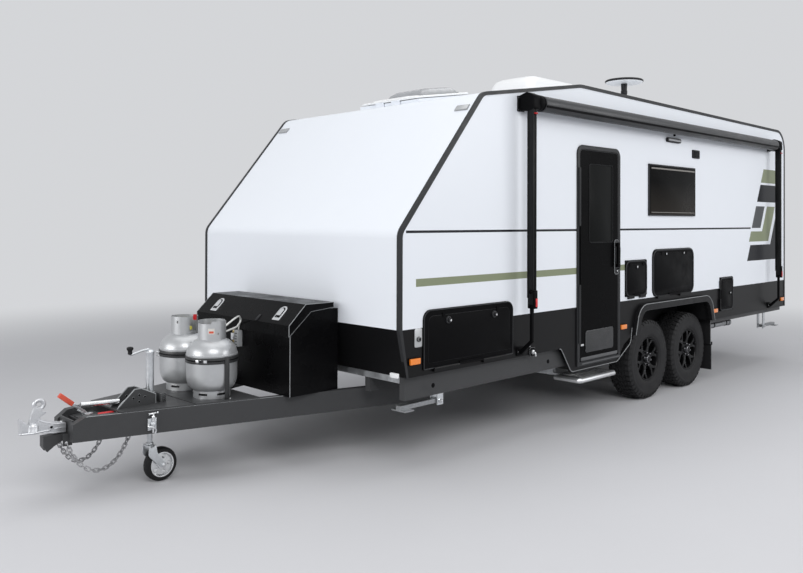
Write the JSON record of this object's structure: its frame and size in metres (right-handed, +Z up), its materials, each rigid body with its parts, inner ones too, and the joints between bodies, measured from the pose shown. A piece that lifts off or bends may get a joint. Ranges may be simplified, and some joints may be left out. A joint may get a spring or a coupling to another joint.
{
  "type": "travel caravan",
  "caption": "Two-axle travel caravan on a long drawbar, with sloped front, side door, lockers, rolled awning, gas bottles, toolbox and jockey wheel.",
  "frame": {"origin": "on the ground, under the middle of the box around the whole caravan", "axes": "-X points to the tow coupling, +X to the rear, -Y to the door side, +Z up"},
  "size_m": [8.852, 2.6558, 3.2582],
  "materials": {
    "panel": "satin",
    "trim": "satin",
    "black_panel": "satin",
    "frame_paint": "satin",
    "galvanised": "satin",
    "cast": "satin",
    "tyre": "matte",
    "rubber": "matte",
    "rim": "gloss",
    "glass": "gloss",
    "black_plastic": "matte",
    "white_plastic": "satin",
    "smoke_plastic": "satin",
    "lamp": "gloss",
    "bottle": "satin",
    "aluminium": "satin",
    "box_black": "satin",
    "tank": "matte"
  },
  "bodies": {
    "caravan": {"air_conditioner": "white_plastic", "antenna": "white_plastic", "awning": "black_plastic", "axles": "frame_paint", "bottle_holder": "frame_paint", "chassis_brackets": "galvanised", "chassis_joists": "galvanised", "chassis_rails": "frame_paint", "corner_mouldings": "trim", "coupling": "cast", "door_and_window_frames": "trim", "drawbar_plates": "frame_paint", "drawbar_rails": "frame_paint", "far_wall": "panel", "floor": "panel", "front_wall": "panel", "gas_bottles": "bottle", "hand_brake": "galvanised", "jockey_post": "galvanised", "lamps": "lamp", "mud_flaps": "rubber", "near_wall": "panel", "rear_wall": "panel", "roof": "panel", "safety_chains": "galvanised", "side_beams": "frame_paint", "tanks_and_pipe": "tank", "toolbox": "box_black", "wheel_arches": "black_plastic", "window_panes": "glass"},
    "entry_door": {"entry_door": "black_panel", "entry_glass": "glass"},
    "boot_door_near": {"boot_door_near": "black_panel"},
    "boot_door_far": {"boot_door_far": "black_panel"},
    "table_locker_door": {"table_locker_door": "black_panel"},
    "small_locker_door": {"small_locker_door": "black_panel"},
    "rear_locker_door": {"rear_locker_door": "black_panel"},
    "toolbox_lid": {"toolbox_lid": "box_black"},
    "hatch_lid": {"hatch_lid": "smoke_plastic"},
    "step": {"step": "aluminium"},
    "jockey_stem": {"jockey_stem": "galvanised"},
    "jockey_fork": {"jockey_fork": "galvanised"},
    "jockey_wheel": {"jockey_rim": "galvanised", "jockey_tyre": "rubber"},
    "leg_front_near": {"leg_front_near": "galvanised"},
    "wheel_front_near": {"rim_front_near": "rim", "tyre_front_near": "tyre"},
    "leg_front_far": {"leg_front_far": "galvanised"},
    "wheel_front_far": {"rim_front_far": "rim", "tyre_front_far": "tyre"},
    "leg_rear_near": {"leg_rear_near": "galvanised"},
    "wheel_rear_near": {"rim_rear_near": "rim", "tyre_rear_near": "tyre"},
    "leg_rear_far": {"leg_rear_far": "galvanised"},
    "wheel_rear_far": {"rim_rear_far": "rim", "tyre_rear_far": "tyre"}
  },
  "joints": [
    {"name": "entry_door_hinge", "type": "hinge", "parent": "caravan", "child": "entry_door", "pos_m": [-0.289, -1.177, 1.4415], "axis": [0, 0, -1], "range_deg": [0, 170]},
    {"name": "boot_door_near_hinge", "type": "hinge", "parent": "caravan", "child": "boot_door_near", "pos_m": [-1.71, -1.175, 0.7105], "axis": [1, 0, 0], "range_deg": [0, 150]},
    {"name": "boot_door_far_hinge", "type": "hinge", "parent": "caravan", "child": "boot_door_far", "pos_m": [-1.71, 1.309, 0.7105], "axis": [-1, 0, 0], "range_deg": [0, 150]},
    {"name": "table_locker_hinge", "type": "hinge", "parent": "caravan", "child": "table_locker_door", "pos_m": [1.422, -1.175, 1.0055], "axis": [1, 0, 0], "range_deg": [0, 90]},
    {"name": "small_locker_hinge", "type": "hinge", "parent": "caravan", "child": "small_locker_door", "pos_m": [0.677, -1.175, 1.0385], "axis": [1, 0, 0], "range_deg": [0, 100]},
    {"name": "rear_locker_hinge", "type": "hinge", "parent": "caravan", "child": "rear_locker_door", "pos_m": [2.5025, -1.175, 0.9325], "axis": [0, 0, -1], "range_deg": [0, 120]},
    {"name": "toolbox_lid_hinge", "type": "hinge", "parent": "caravan", "child": "toolbox_lid", "pos_m": [-2.48, 0.067, 1.112], "axis": [0, 1, 0], "range_deg": [0, 80]},
    {"name": "hatch_lid_hinge", "type": "hinge", "parent": "caravan", "child": "hatch_lid", "pos_m": [-1.38635, 0.067, 2.76197], "axis": [0, -1, 0], "range_deg": [0, 50]},
    {"name": "step_slide", "type": "slide", "parent": "caravan", "child": "step", "axis": [0, -1, 0], "range_m": [0, 0.25]},
    {"name": "jockey_slide", "type": "slide", "parent": "caravan", "child": "jockey_stem", "axis": [0, 0, 1], "range_m": [0, 0.12]},
    {"name": "jockey_swivel", "type": "hinge", "parent": "jockey_stem", "child": "jockey_fork", "pos_m": [-3.638, -0.033, 0], "axis": [0, 0, 1], "continuous": true},
    {"name": "jockey_wheel_spin", "type": "hinge", "parent": "jockey_fork", "child": "jockey_wheel", "pos_m": [-3.562, -0.033, 0.111], "axis": [0, 1, 0], "continuous": true},
    {"name": "leg_front_near_pivot", "type": "hinge", "parent": "caravan", "child": "leg_front_near", "pos_m": [-1.963, -1.061, 0.455], "axis": [0, -1, 0], "range_deg": [0, 70]},
    {"name": "leg_front_far_pivot", "type": "hinge", "parent": "caravan", "child": "leg_front_far", "pos_m": [-1.963, 1.195, 0.455], "axis": [0, -1, 0], "range_deg": [0, 70]},
    {"name": "leg_rear_near_pivot", "type": "hinge", "parent": "caravan", "child": "leg_rear_near", "pos_m": [3.897, -1.061, 0.455], "axis": [0, 1, 0], "range_deg": [0, 70]},
    {"name": "leg_rear_far_pivot", "type": "hinge", "parent": "caravan", "child": "leg_rear_far", "pos_m": [3.897, 1.195, 0.455], "axis": [0, 1, 0], "range_deg": [0, 70]},
    {"name": "wheel_front_near_spin", "type": "hinge", "parent": "caravan", "child": "wheel_front_near", "pos_m": [1.057, -0.976, 0.388], "axis": [0, 1, 0], "continuous": true},
    {"name": "wheel_front_far_spin", "type": "hinge", "parent": "caravan", "child": "wheel_front_far", "pos_m": [1.057, 1.11, 0.388], "axis": [0, 1, 0], "continuous": true},
    {"name": "wheel_rear_near_spin", "type": "hinge", "parent": "caravan", "child": "wheel_rear_near", "pos_m": [1.899, -0.976, 0.388], "axis": [0, 1, 0], "continuous": true},
    {"name": "wheel_rear_far_spin", "type": "hinge", "parent": "caravan", "child": "wheel_rear_far", "pos_m": [1.899, 1.11, 0.388], "axis": [0, 1, 0], "continuous": true}
  ]
}
